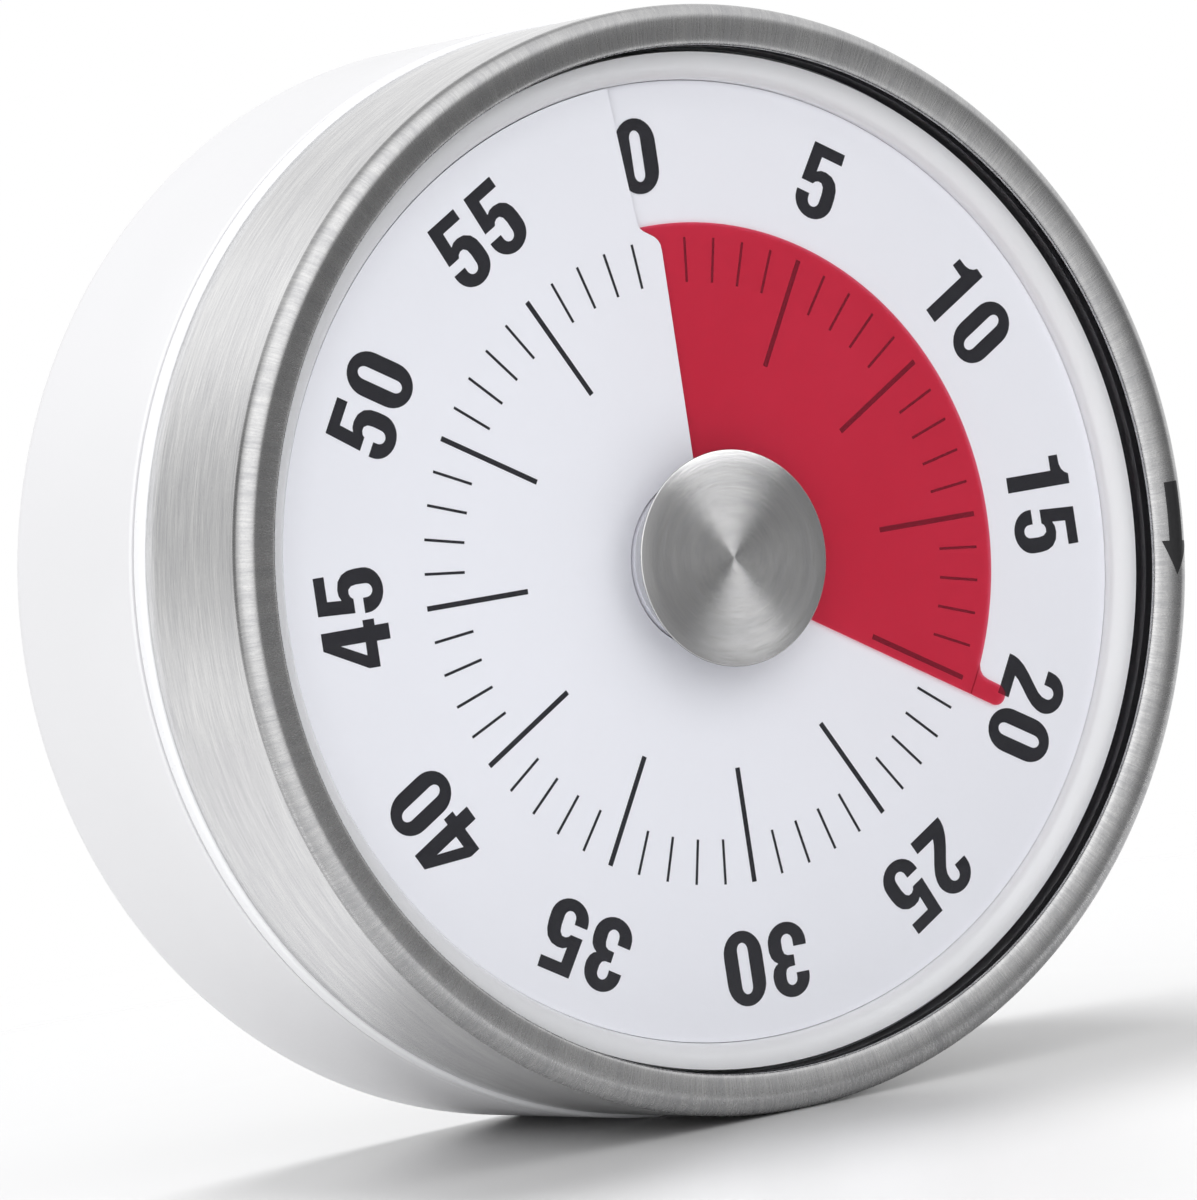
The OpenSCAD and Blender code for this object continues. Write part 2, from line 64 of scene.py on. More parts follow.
def lips(c):
    """How far the sheet stands off its middle height: it springs apart at the slit and curls down there."""
    if c < 180:
        return min(0.0, c / 360 - LIP) - 0.2 * min(1.0, math.exp(-(c + 4.4) / 2.2))
    return max(0.0, (c - 360) / 360 + LIP)


def arc(cx, cy, r, a0, a1, n):
    return [(cx + r * math.cos(D(a0 + (a1 - a0) * i / n)), cy + r * math.sin(D(a0 + (a1 - a0) * i / n)))
            for i in range(n + 1)]


# ------------------------------------------------------------------ mesh tools
def make(name, verts, faces, mat, smooth=True, sharp=32.0):
    me = bpy.data.meshes.new(name)
    me.from_pydata([tuple(v) for v in verts], [], faces)
    me.validate()
    me.update()
    if smooth:
        me.polygons.foreach_set("use_smooth", [True] * len(me.polygons))
        me.set_sharp_from_angle(angle=D(sharp))
    me.materials.append(mat)
    ob = bpy.data.objects.new(name, me)
    bpy.context.scene.collection.objects.link(ob)
    return ob


def lathe_data(prof, n=360):
    """A closed outline (r, z) turned about the axis; points on the axis become poles."""
    verts, ids = [], []
    for r, z in prof:
        if r < 1e-6:
            ids.append([len(verts)] * n)
            verts.append(P(0, 0, z))
        else:
            ids.append(list(range(len(verts), len(verts) + n)))
            verts += [P(r * math.sin(2 * math.pi * i / n), r * math.cos(2 * math.pi * i / n), z) for i in range(n)]
    faces = []
    m = len(prof)
    for j in range(m):
        a, b = ids[j], ids[(j + 1) % m]
        if prof[j][0] < 1e-6 and prof[(j + 1) % m][0] < 1e-6:
            continue
        for i in range(n):
            k = (i + 1) % n
            q = [a[i], a[k], b[k], b[i]]
            f = [v for t, v in enumerate(q) if v != q[t - 1]]
            faces.append(f)
    return verts, faces


def fix_normals(ob):
    import bmesh
    bm = bmesh.new()
    bm.from_mesh(ob.data)
    bmesh.ops.recalc_face_normals(bm, faces=bm.faces)
    bm.to_mesh(ob.data)
    bm.free()
    return ob


def lathe(name, prof, mat, n=360, sharp=32.0):
    v, f = lathe_data(prof, n)
    return fix_normals(make(name, v, f, mat, sharp=sharp))


def climber(name, rs, c0, c1, mid, t, up, mat, n=360):
    """A thin sheet that goes round clockwise from c0 to c1, its height given by up(c)."""
    nr = len(rs)
    verts, faces = [], []
    for i in range(n + 1):
        for j in range(nr):
            c = c0[j] + (c1[j] - c0[j]) * i / n
            for s in (1, -1):
                verts.append(P(rs[j] * math.sin(D(c)), rs[j] * math.cos(D(c)), mid + up(c) + s * t / 2))
    g = lambda i, j, s: (i * nr + j) * 2 + s
    for i in range(n):
        for j in range(nr - 1):
            faces.append((g(i, j, 0), g(i, j + 1, 0), g(i + 1, j + 1, 0), g(i + 1, j, 0)))
            faces.append((g(i, j, 1), g(i + 1, j, 1), g(i + 1, j + 1, 1), g(i, j + 1, 1)))
        faces.append((g(i, nr - 1, 0), g(i, nr - 1, 1), g(i + 1, nr - 1, 1), g(i + 1, nr - 1, 0)))
        faces.append((g(i, 0, 0), g(i + 1, 0, 0), g(i + 1, 0, 1), g(i, 0, 1)))
    for j in range(nr - 1):
        faces.append((g(0, j, 0), g(0, j, 1), g(0, j + 1, 1), g(0, j + 1, 0)))
        faces.append((g(n, j, 0), g(n, j + 1, 0), g(n, j + 1, 1), g(n, j, 1)))
    return verts, faces


def print_solid(loops, place, verts, faces):
    """Adds a thin closed solid: loops of (u, v) points, place(u, v, side) -> vertex."""
    flat = [[Vector((u, v, 0)) for u, v in lp] for lp in loops]
    tris = tessellate_polygon(flat)
    base = len(verts)
    pts = [p for lp in loops for p in lp]
    n = len(pts)
    for s in (1, 0):
        verts += [place(u, v, s) for u, v in pts]
    for a, b, c in tris:
        faces.append((base + a, base + b, base + c))
        faces.append((base + n + c, base + n + b, base + n + a))
    k = 0
    for lp in loops:
        m = len(lp)
        for i in range(m):
            a, b = base + k + i, base + k + (i + 1) % m
            faces.append((a, b, b + n, a + n))
        k += m


# ------------------------------------------------------------------- materials
class Mat:
    """A small wrapper that keeps node building short."""

    def __init__(self, name):
        self.mat = bpy.data.materials.new(name)
        self.mat.use_nodes = True
        self.nt = self.mat.node_tree
        self.nt.nodes.clear()
        self.out = self.nt.nodes.new("ShaderNodeOutputMaterial")

    def node(self, kind, **kw):
        nd = self.nt.nodes.new("ShaderNode" + kind)
        for k, v in kw.items():
            if hasattr(nd, k):
                setattr(nd, k, v)
        return nd

    def link(self, a, b):
        self.nt.links.new(a, b)

    def math(self, op, a, b=None, clamp=False):
        nd = self.node("Math", operation=op, use_clamp=clamp)
        for i, x in enumerate((a, b)):
            if x is None:
                continue
            if isinstance(x, (int, float)):
                nd.inputs[i].default_value = x
            else:
                self.link(x, nd.inputs[i])
        return nd.outputs[0]

    def ramp(self, fac, lo, hi, vlo=0.0, vhi=1.0):
        nd = self.node("MapRange", clamp=True)
        self.link(fac, nd.inputs["Value"])
        nd.inputs["From Min"].default_value = lo
        nd.inputs["From Max"].default_value = hi
        nd.inputs["To Min"].default_value = vlo
        nd.inputs["To Max"].default_value = vhi
        return nd.outputs[0]

    def mix(self, fac, a, b):
        nd = self.node("Mix", data_type="RGBA")
        self.link(fac, nd.inputs[0])
        for sock, x in ((nd.inputs[6], a), (nd.inputs[7], b)):
            if isinstance(x, tuple):
                sock.default_value = (*x, 1)
            else:
                self.link(x, sock)
        return nd.outputs[2]

    def obj(self):
        if not hasattr(self, "_tc"):
            self._tc = self.node("TexCoord")
        return self._tc.outputs["Object"]

    def xyz(self):
        if not hasattr(self, "_xyz"):
            self._xyz = self.node("SeparateXYZ")
            self.link(self.obj(), self._xyz.inputs[0])
        return self._xyz.outputs

    def noise(self, scale, detail=4.0, rough=0.55, vec=None, w=None, dims="3D", distort=0.0):
        nd = self.node("TexNoise", noise_dimensions=dims)
        nd.inputs["Scale"].default_value = scale
        nd.inputs["Detail"].default_value = detail
        nd.inputs["Roughness"].default_value = rough
        nd.inputs["Distortion"].default_value = distort
        self.link(vec if vec is not None else self.obj(), nd.inputs["Vector"])
        if w is not None:
            self.link(w, nd.inputs["W"])
        return nd.outputs["Fac"]

    def bump(self, height, strength, distance, normal=None):
        nd = self.node("Bump")
        nd.inputs["Strength"].default_value = strength
        nd.inputs["Distance"].default_value = distance
        self.link(height, nd.inputs["Height"])
        if normal is not None:
            self.link(normal, nd.inputs["Normal"])
        return nd.outputs[0]

    def principled(self, **kw):
        nd = self.node("BsdfPrincipled")
        names = {"color": "Base Color", "rough": "Roughness", "metal": "Metallic", "spec": "Specular IOR Level",
                 "aniso": "Anisotropic", "aniso_rot": "Anisotropic Rotation", "coat": "Coat Weight",
                 "coat_rough": "Coat Roughness", "ior": "IOR", "normal": "Normal", "tangent": "Tangent",
                 "sss": "Subsurface Weight", "sss_scale": "Subsurface Scale", "sheen": "Sheen Weight",
                 "alpha": "Alpha", "trans": "Transmission Weight"}
        for k, v in kw.items():
            s = nd.inputs[names[k]]
            if isinstance(v, tuple):
                s.default_value = (*v, 1)
            elif isinstance(v, (int, float)):
                s.default_value = v
            else:
                self.link(v, s)
        self.bsdf = nd
        return nd.outputs[0]

    def done(self, shader):
        self.link(shader, self.out.inputs["Surface"])
        return self.mat


def turned(m, along, across):
    """Noise coordinates that are long round the axis and short across it."""
    x, y, z = m.xyz()
    rr = m.math("POWER", m.math("ADD", m.math("MULTIPLY", x, x), m.math("MULTIPLY", z, z)), 0.5)
    safe = m.math("MAXIMUM", rr, 1e-5)
    cx = m.math("MULTIPLY", m.math("DIVIDE", x, safe), along)
    cz = m.math("MULTIPLY", m.math("DIVIDE", z, safe), along)
    v = m.node("CombineXYZ")
    m.link(cx, v.inputs[0])
    m.link(cz, v.inputs[1])
    m.link(m.math("MULTIPLY", rr, across), v.inputs[2])
    return v.outputs[0], m.math("MULTIPLY", y, across), rr


def brushed_steel(name, along=12.0, across=9000.0, rough=0.30, base=0.60, speck=0.5, bump=0.25, aniso=0.72):
    """Steel with its fine scratches running round the axis."""
    m = Mat(name)
    vec, w, rr = turned(m, along, across)
    fine = m.noise(1.0, 3.0, 0.6, vec, w, "4D")
    vec2, w2, _ = turned(m, along * 0.35, across * 0.16)
    broad = m.noise(1.0, 2.0, 0.5, vec2, w2, "4D")
    return steel_shader(m, fine, broad, rough, base, speck, bump, aniso, 0.25)


def crossed_steel(name, across=340.0, along=650.0, rough=0.30, base=0.60, speck=0.5, bump=0.25, aniso=0.72):
    """Steel with short scratches running across the ring, from its edge towards its middle."""
    m = Mat(name)
    vec, w, rr = turned(m, across, along)
    fine = m.noise(1.0, 3.0, 0.65, vec, w, "4D")
    vec2, w2, _ = turned(m, across * 0.2, along * 0.5)
    broad = m.noise(1.0, 2.0, 0.5, vec2, w2, "4D")
    return steel_shader(m, fine, broad, rough, base, speck, bump, aniso, 0.0)


def steel_shader(m, fine, broad, rough, base, speck, bump, aniso, rot):
    grit = m.noise(5200.0, 2.0, 0.6)
    mixed = m.math("ADD", m.math("MULTIPLY", fine, 1.0 - 0.35 * speck), m.math("MULTIPLY", grit, 0.35 * speck))
    tone = m.math("ADD", m.math("MULTIPLY", mixed, 0.7), m.math("MULTIPLY", broad, 0.3))
    col = m.mix(m.ramp(tone, 0.36, 0.64), tuple(base * k for k in (0.84, 0.84, 0.86)),
                tuple(min(1.0, base * k) for k in (1.17, 1.165, 1.16)))
    ro = m.ramp(mixed, 0.3, 0.7, rough * 1.25, rough * 0.8)
    nrm = m.bump(mixed, bump, 0.00003)
    tan = m.node("Tangent", direction_type="RADIAL", axis="Y")
    sh = m.principled(color=col, rough=ro, metal=1.0, normal=nrm, tangent=tan.outputs[0], aniso=aniso, aniso_rot=rot)
    return m.done(sh)


def moulded(name, color, rough=0.35, grain=0.02, var=0.02, spec=0.5, coat=0.0, scale=2600.0, sss=0.0):
    m = Mat(name)
    big = m.noise(38.0, 3.0, 0.5)
    small = m.noise(scale, 3.0, 0.6)
    hi = tuple(min(1.0, c * (1 + var)) for c in color)
    lo = tuple(c * (1 - var) for c in color)
    col = m.mix(m.ramp(big, 0.35, 0.65), lo, hi)
    ro = m.ramp(small, 0.3, 0.7, rough * 0.9, rough * 1.12)
    nrm = m.bump(small, grain, 0.00004)
    kw = dict(color=col, rough=ro, normal=nrm, spec=spec)
    if coat:
        kw.update(coat=coat, coat_rough=0.08)
    return m.done(m.principled(**kw))


def printed(name, color, rough=0.5):
    m = Mat(name)
    n = m.noise(4200.0, 2.0, 0.5)
    col = m.mix(m.ramp(n, 0.3, 0.7), tuple(c * 0.85 for c in color), tuple(c * 1.15 for c in color))
    nrm = m.bump(n, 0.05, 0.00001)
    return m.done(m.principled(color=col, rough=rough, normal=nrm, spec=0.35))


def machined(name, color, rough=0.32, metal=1.0, scale=1800.0, stain=None):
    m = Mat(name)
    fine = m.noise(scale, 3.0, 0.6)
    broad = m.noise(140.0, 4.0, 0.55)
    col = m.mix(m.ramp(broad, 0.35, 0.7), tuple(c * 0.88 for c in color), stain or tuple(min(1.0, c * 1.08) for c in color))
    ro = m.ramp(fine, 0.3, 0.7, rough * 0.8, rough * 1.25)
    nrm = m.bump(fine, 0.12, 0.00003)
    return m.done(m.principled(color=col, rough=ro, metal=metal, normal=nrm))


# The ring's side and front face are one piece of steel with two base tones: the side's (0.70) is lighter and the
# face's (0.43) darker. That difference is painted light and painted shade standing for the different brightness of
# their reflections; only the direction of the scratches is the real difference in finish.
STEEL = brushed_steel("ring_side_steel_lit", rough=0.22, base=0.70, aniso=0.82)
FACE_SHADED = crossed_steel("ring_face_steel_shaded", across=250.0, along=520.0, rough=0.27, base=0.43, speck=0.8, bump=0.6, aniso=0.78)
CAP = brushed_steel("cap_steel", along=4.0, across=8000.0, rough=0.21, base=0.54, speck=0.25, bump=0.16, aniso=0.95)
BODY = moulded("body_white", (0.735, 0.735, 0.75), rough=0.34, grain=0.03, var=0.012, coat=0.0)
CARRIER = moulded("carrier_white", (0.84, 0.845, 0.86), rough=0.3, grain=0.02, var=0.01)
REHAUT = moulded("frame_white", (0.87, 0.87, 0.885), rough=0.16, grain=0.01, var=0.006, coat=0.4)
DIAL = moulded("dial_white", (0.905, 0.908, 0.96), rough=0.42, grain=0.02, var=0.006, spec=0.3)
INK = printed("dial_ink", (0.016, 0.0155, 0.021))
ARROW = printed("arrow_ink", (0.012, 0.012, 0.013), rough=0.42)
GASKET = moulded("gasket_black", (0.018, 0.017, 0.020), rough=0.4, grain=0.05, var=0.15)
INNER = moulded("inner_white", (0.78, 0.78, 0.80), rough=0.4, grain=0.03, var=0.02)
PAD = moulded("pad_grip", (0.30, 0.305, 0.315), rough=0.75, grain=0.35, var=0.05, scale=1500.0, spec=0.3)
MAGNET = machined("magnet_nickel", (0.60, 0.58, 0.55), rough=0.22)
SCREW = machined("screw_zinc", (0.56, 0.57, 0.60), rough=0.3)
BRASS = machined("plate_brass", (0.78, 0.56, 0.26), rough=0.34, stain=(0.70, 0.46, 0.19))
WHEEL = machined("wheel_brass", (0.83, 0.61, 0.29), rough=0.26, stain=(0.76, 0.52, 0.23))
ARBOR = machined("arbor_steel", (0.50, 0.50, 0.52), rough=0.24)
SPRING = machined("spring_blued", (0.13, 0.16, 0.26), rough=0.28, stain=(0.10, 0.11, 0.22))
BELL = machined("bell_steel", (0.66, 0.65, 0.63), rough=0.18, stain=(0.58, 0.56, 0.52))

# red film: light goes through, tinted, and a little scatters back
m = Mat("film_red")
n1 = m.noise(60.0, 3.0, 0.5)
n2 = m.noise(2400.0, 2.0, 0.5)
tr = m.node("BsdfTransparent")
m.link(m.mix(m.ramp(n1, 0.3, 0.7), (0.93, 0.40, 0.485), (0.955, 0.44, 0.53)), tr.inputs["Color"])
sh = m.principled(color=(0.78, 0.07, 0.14), rough=0.34, spec=0.4, normal=m.bump(n2, 0.03, 0.00002))
mx = m.node("MixShader")
mx.inputs[0].default_value = 0.16
m.link(tr.outputs[0], mx.inputs[1])
m.link(sh, mx.inputs[2])
FILM = m.done(mx.outputs[0])

# clear lens: what is behind shows, with a thin gloss that grows at grazing angles
m = Mat("lens_clear")
tr = m.node("BsdfTransparent")
tr.inputs["Color"].default_value = (0.992, 0.994, 0.996, 1)
gl = m.node("BsdfGlossy")
gl.inputs["Roughness"].default_value = 0.03
n2 = m.noise(90.0, 2.0, 0.5)
m.link(m.bump(n2, 0.02, 0.0002), gl.inputs["Normal"])
fr = m.node("Fresnel")
fr.inputs["IOR"].default_value = 1.18
mx = m.node("MixShader")
m.link(fr.outputs[0], mx.inputs[0])
m.link(tr.outputs[0], mx.inputs[1])
m.link(gl.outputs[0], mx.inputs[2])
LENS = m.done(mx.outputs[0])

# ---------------------------------------------------------------------- camera
cam_data = bpy.data.cameras.new("camera")
cam_data.sensor_width = 36.0
cam_data.lens = 246.417
cam_data.clip_start = 0.01
cam_data.clip_end = 20.0
cam = bpy.data.objects.new("camera", cam_data)
bpy.context.scene.collection.objects.link(cam)
bpy.context.scene.camera = cam
right = Vector((0.84739945, -0.50948697, -0.14945635))
up = Vector((0.14949212, -0.04115762, 0.98790594))
fwd = Vector((0.50947647, 0.85949350, -0.04128734))
M = Matrix((right, up, -fwd)).transposed().to_4x4()
M.translation = Vector((-0.3088782, -0.5381981, 0.0227955))
cam.matrix_world = M

# ------------------------------------------------------------- outside pieces
ci = RING_R - RING_ROUND
ring_prof = ([(RING_R, 22.42), (RING_R, 24), (RING_R, 27), (RING_R, 30), (RING_R, 33), (RING_R, 34.8)]
             + arc(ci, RING_FRONT - RING_ROUND, RING_ROUND, 0, 90, 24)
             + [(38.35, RING_FRONT - 0.035), (37.9, RING_FRONT - 0.12), (37.5, RING_FRONT - 0.215), (37.28, RING_FRONT - 0.275),
                (37.18, RING_FRONT - 0.315), (37.09, RING_FRONT - 0.375), (37.03, RING_FRONT - 0.45), (37.0, RING_FRONT - 0.55),
                (37.0, RING_FRONT - 0.75), (37.1, RING_FRONT - 0.75)]
             + arc(ci, RING_FRONT - RING_ROUND, RING_ROUND - 0.5, 90, 0, 12)
             + [(RING_R - 0.5, 22.3), (RING_R - 0.12, 22.3), (RING_R - 0.04, 22.33)])
ring = lathe("grip_ring", ring_prof, STEEL, n=720)
# the front face and its rounding take the darker, painted-shade copy of the ring's steel
ring.data.materials.append(FACE_SHADED)
for pl in ring.data.polygons:
    if -pl.center.y > (RING_FRONT - RING_ROUND) * 0.001:
        pl.material_index = 1
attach(ring, "grip_ring")
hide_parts("bezel_ring")

carrier_prof = [(37.05, 20.9), (39.95, 20.9), (40.11, 20.94), (40.22, 21.03), (40.28, 21.15), (40.3, 21.3), (40.3, 21.95),
                (40.28, 22.08), (40.22, 22.19), (40.12, 22.26), (40.0, 22.29), (39.45, 22.29), (39.45, 33.4), (37.05, 33.4), (37.05, 26.1), (36.35, 25.9), (36.35, 25.5), (37.05, 25.3)]
carrier = lathe("ring_collar", carrier_prof, CARRIER, n=720)
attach(carrier, "grip_ring")
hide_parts("ring_carrier")

body_prof = ([(36.8, 2.5), (36.8, 0.7), (36.9, 0.53)] + arc(DRUM_R - 3.0, 3.5, 3.0, -90, 0, 24)
             + [(DRUM_R, 8), (DRUM_R, 14), (DRUM_R, 20.3), (DRUM_R - 0.04, 20.45), (DRUM_R - 0.14, 20.56), (DRUM_R - 0.3, 20.6), (36.7, 20.6), (36.7, 24.9), (36.0, 24.9), (36.0, 26.5),
                (36.7, 26.5), (36.7, 31.2), (34.9, 31.2), (34.9, 29.3), (33.4, 29.3), (33.4, 18.8), (38.5, 18.8), (38.5, 4.5),
                (31.5, 4.5), (31.5, 2.5)])
v, f = lathe_data(body_prof, 720)
drum = fix_normals(make("drum", v, f, BODY))
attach(drum, "root")
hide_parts("housing")

# screw bosses inside the drum
bv, bf = [], []
for a in (45, 135, 225, 315):
    cx, cy = 34 * math.cos(D(a)), 34 * math.sin(D(a))
    k = len(bv)
    n = 48
    for r, z in ((2.6, 3.0), (2.6, 8.7), (2.3, 9.0), (1.02, 9.0), (1.02, 3.0)):
        bv += [P(cx + r * math.cos(2 * math.pi * i / n), cy + r * math.sin(2 * math.pi * i / n), z) for i in range(n)]
    for j in range(5):
        for i in range(n):
            bf.append((k + j * n + i, k + j * n + (i + 1) % n, k + (j + 1) % 5 * n + (i + 1) % n, k + (j + 1) % 5 * n + i))
bosses = fix_normals(make("drum_bosses", bv, bf, BODY))
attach(bosses, "root")

frame_prof = ([(34.78, 31.22), (36.75, 31.22), (36.75, 33.9)]
              + [(36.75 - 1.97 * math.cos(D(t)), 33 + 1.2 * math.sin(D(t))) for t in [88 - 88 * i / 28 for i in range(29)]])
rehaut = lathe("dial_rim", frame_prof, REHAUT, n=720)
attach(rehaut, "root")
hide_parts("dial_frame")

gasket_prof = [(37.0, 33.42), (39.4, 33.42), (39.4, 35.3), (39.25, 35.5), (39.0, 35.65), (38.3, 35.75), (38.3, LENS_Z - 0.02), (37.0, LENS_Z - 0.02)]
gasket = lathe("lens_seal", gasket_prof, GASKET, n=720)
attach(gasket, "grip_ring")
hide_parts("lens_gasket")


def dome(r):
    return 0.7 * (1 - (r / 37.0) ** 2)


lens_prof = ([(2.6, LENS_Z + 0.85 * dome(2.6))] + [(37 * i / 24, LENS_Z + 0.85 * dome(37 * i / 24)) for i in range(2, 25)]
             + [(38.2, LENS_Z), (38.2, LENS_Z + 0.56), (37.9, LENS_Z + 0.76)]
             + [(36.9 * i / 24, LENS_Z + 0.76 + dome(36.9 * i / 24)) for i in range(24, 1, -1)]
             + [(2.6, LENS_Z + 0.76 + dome(2.6))])
lens = lathe("clear_window", lens_prof, LENS, n=360)
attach(lens, "grip_ring")
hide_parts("lens")

cap_prof = ([(0, 36.52), (7.3, 36.52), (7.42, 36.56), (7.46, 36.64), (7.5, 36.7), (7.7, 36.72), (7.78, 36.75)] + arc(7.72, 36.82, 0.08, 0, 90, 6)
            + [(6.5, 36.9), (5, 36.9), (3.5, 36.9), (2, 36.9), (0.7, 36.9), (0, 36.9)])
cap = lathe("spun_cap", cap_prof, CAP, n=360)
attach(cap, "grip_ring")
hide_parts("centre_cap")
stem_prof = [(0, 33.5), (2.35, 33.5), (2.5, 33.65), (2.5, 36.5), (0, 36.5)]
stem = lathe("cap_stem", stem_prof, ARBOR, n=64)
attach(stem, "grip_ring")

# ------------------------------------------------------------------------ dial
rs = [6.4, 12.0, 16.0, 20.0, 22.5, 23.0, 23.3, 23.6, 23.9, 24.15, 24.4, 24.8, 28.0, 31.0, 34.74]
c_start = [0, 0, 0, 0, 0, -0.12, -0.45, -1.1, -2.2, -3.1, -3.65, -3.95, -4.12, -4.18, -4.22]
c_in = [0, 0, 0, 0, 0, -0.4, -1.0, -1.9, -3.4, -4.6, -5.3, -5.7, -5.9, -5.9, -5.9]
v, f = climber("dial", rs, c_in, [360 + c for c in c_start], DIAL_Z - DIAL_T / 2, DIAL_T, lips, DIAL, 720)
card = fix_normals(make("dial_card", v, f, DIAL))
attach(card, "root")
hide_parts("dial")

# ------------------------------------------------------------- ticks, numerals
def on_dial(c):
    """Places (across, outwards) millimetres on the dial at clockwise angle c."""
    s, k = math.sin(D(c)), math.cos(D(c))

    def place(u, v, side):
        x, y = v * s + u * k, v * k - u * s
        cc = math.degrees(math.atan2(x, y))
        if cc < 0 and c > 15:
            cc += 360
        return P(x, y, DIAL_Z + lips(cc) + (front if side else -0.03))
    front = 0.075 if c == 0 else 0.02  # the 0 bridges the curl beside the slit
    return place


tv, tf = [], []
for i in range(1, 60):
    w, r0, r1 = (0.19, 15.15, 23.5) if i % 5 == 0 else (0.1, 20.16, 23.42)
    steps = 6
    loop = [(-w, r0), (w, r0)] + [(w, r0 + (r1 - r0) * k / steps) for k in range(1, steps)] + [(w, r1), (-w, r1)] \
        + [(-w, r0 + (r1 - r0) * k / steps) for k in range(steps - 1, 0, -1)]
    print_solid([loop], on_dial(i * 6.0), tv, tf)
ticks = fix_normals(make("minute_marks", tv, tf, INK, smooth=False))
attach(ticks, "root")


def el(cx, cy, rx, ry, a0, a1, n=14):
    return [(cx + rx * math.cos(D(a0 + (a1 - a0) * i / n)), cy + ry * math.sin(D(a0 + (a1 - a0) * i / n)))
            for i in range(n + 1)]


# Plain heavy figures, 5.5 mm high: outlines and holes
FIG = {
    "0": (3.25, [el(1.625, 3.75, 1.625, 1.75, 0, 180) + el(1.625, 1.75, 1.625, 1.75, 180, 360),
                 el(1.625, 4.05, 0.46, 0.58, 180, 0, 10) + el(1.625, 1.45, 0.46, 0.58, 360, 180, 10)]),
    "1": (2.25, [[(1.1, 0), (2.25, 0), (2.25, 5.5), (1.5, 5.5), (1.36, 5.2), (1.1, 4.95), (0.72, 4.8), (0.0, 4.76),
                  (0.0, 3.98), (1.1, 3.98)]]),
    "2": (3.2, [[(0.05, 0), (3.15, 0), (3.15, 0.97), (1.42, 0.97), (1.62, 1.35), (2.05, 1.9), (2.55, 2.5), (2.95, 3.1), (3.14, 3.6)]
                + el(1.63, 4.0, 1.57, 1.5, 0, 180) + [(0.06, 3.62), (1.14, 3.62)]
                + el(1.62, 4.12, 0.47, 0.5, 180, 0, 10) + [(2.06, 3.72), (1.86, 3.3), (1.45, 2.78), (0.9, 2.12), (0.42, 1.45), (0.14, 0.85), (0.05, 0.4)]]),
    "3": (3.25, [[(0.1, 3.78)] + el(1.64, 4.03, 1.54, 1.47, 180, 0)
                 + [(3.18, 3.75), (3.05, 3.3), (2.82, 3.02), (2.6, 2.9), (2.88, 2.72), (3.12, 2.42), (3.24, 1.98)]
                 + el(1.64, 1.5, 1.61, 1.5, 0, -180) + [(0.03, 1.85), (1.12, 1.85)]
                 + el(1.62, 1.4, 0.49, 0.52, 180, 360, 10) + [(2.1, 1.95), (1.98, 2.28), (1.72, 2.42), (1.2, 2.45), (1.2, 3.25),
                 (1.7, 3.28), (1.95, 3.42), (2.06, 3.72)] + el(1.62, 4.14, 0.45, 0.48, 0, 180, 10) + [(1.17, 3.78)]]),
    "4": (3.42, [[(1.82, 0), (2.95, 0), (2.95, 1.12), (3.42, 1.12), (3.42, 2.04), (2.95, 2.04), (2.95, 5.5), (1.7, 5.5), (0, 2.02),
                  (0, 1.12), (1.82, 1.12)], [(1.86, 2.04), (0.92, 2.04), (1.86, 4.05)]]),
    "5": (3.25, [[(0.14, 2.5), (0.3, 5.5), (3.02, 5.5), (3.02, 4.62), (1.24, 4.62), (1.17, 3.46), (1.5, 3.64), (1.95, 3.68), (2.5, 3.56),
                  (2.95, 3.2), (3.18, 2.7), (3.25, 2.1)] + el(1.64, 1.5, 1.61, 1.5, 0, -180)
                 + [(0.03, 1.72), (1.12, 1.72)] + el(1.62, 1.4, 0.49, 0.52, 180, 360, 10)
                 + [(2.13, 2.1), (2.06, 2.55), (1.84, 2.8), (1.55, 2.82), (1.3, 2.7), (1.16, 2.5)]]),
}
# minutes: shift across (every figure stands on the same foot radius, 26.78 mm)
NUM = {0: -0.45, 5: -0.3, 10: 0.0, 15: 0.1, 20: 0.26, 25: 0.0, 30: -0.06, 35: -0.12, 40: -0.43, 45: 0.12, 50: 0.08, 55: -0.08}
nv, nf = [], []
for mins, du in NUM.items():
    txt = str(mins)
    c = mins * 6.0
    if len(txt) == 1:
        starts = [du - FIG[txt][0] / 2]
    else:
        starts = [du - 3.5 + (3.25 - FIG[txt[0]][0]) * 0.15, du + 0.33]
    for ch, s0 in zip(txt, starts):
        w, loops = FIG[ch]
        out = []
        for lp in loops:
            pts = [(s0 + x, 26.78 + y) for x, y in lp]
            out.append(pts)
        print_solid(out, on_dial(c), nv, nf)
nums = fix_normals(make("dial_figures", nv, nf, INK, smooth=False))
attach(nums, "root")

# ------------------------------------------------------------------- red film
FM = DIAL_Z - DIAL_T / 2
frs = [6.3, 9.0, 12.0, 15.0, 18.0, 21.0, 23.6, 24.25, 24.45]
v, f = climber("film", frs, [LEAD - 364.4] * len(frs), [LEAD + math.degrees(math.asin(0.75 / r)) for r in frs],
               FM, FILM_T, lambda c: c / 360, FILM, 720)
film = fix_normals(make("red_sector", v, f, FILM))
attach(film, "red_film")
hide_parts("red_disc")

# pointer at the film's leading edge
pv, pf = [], []
zt = FM + LEAD / 360


def point_place(u, v, side):
    s, k = math.sin(D(LEAD)), math.cos(D(LEAD))
    return P(v * s + u * k, v * k - u * s, zt + (FILM_T / 2 if side else -FILM_T / 2))


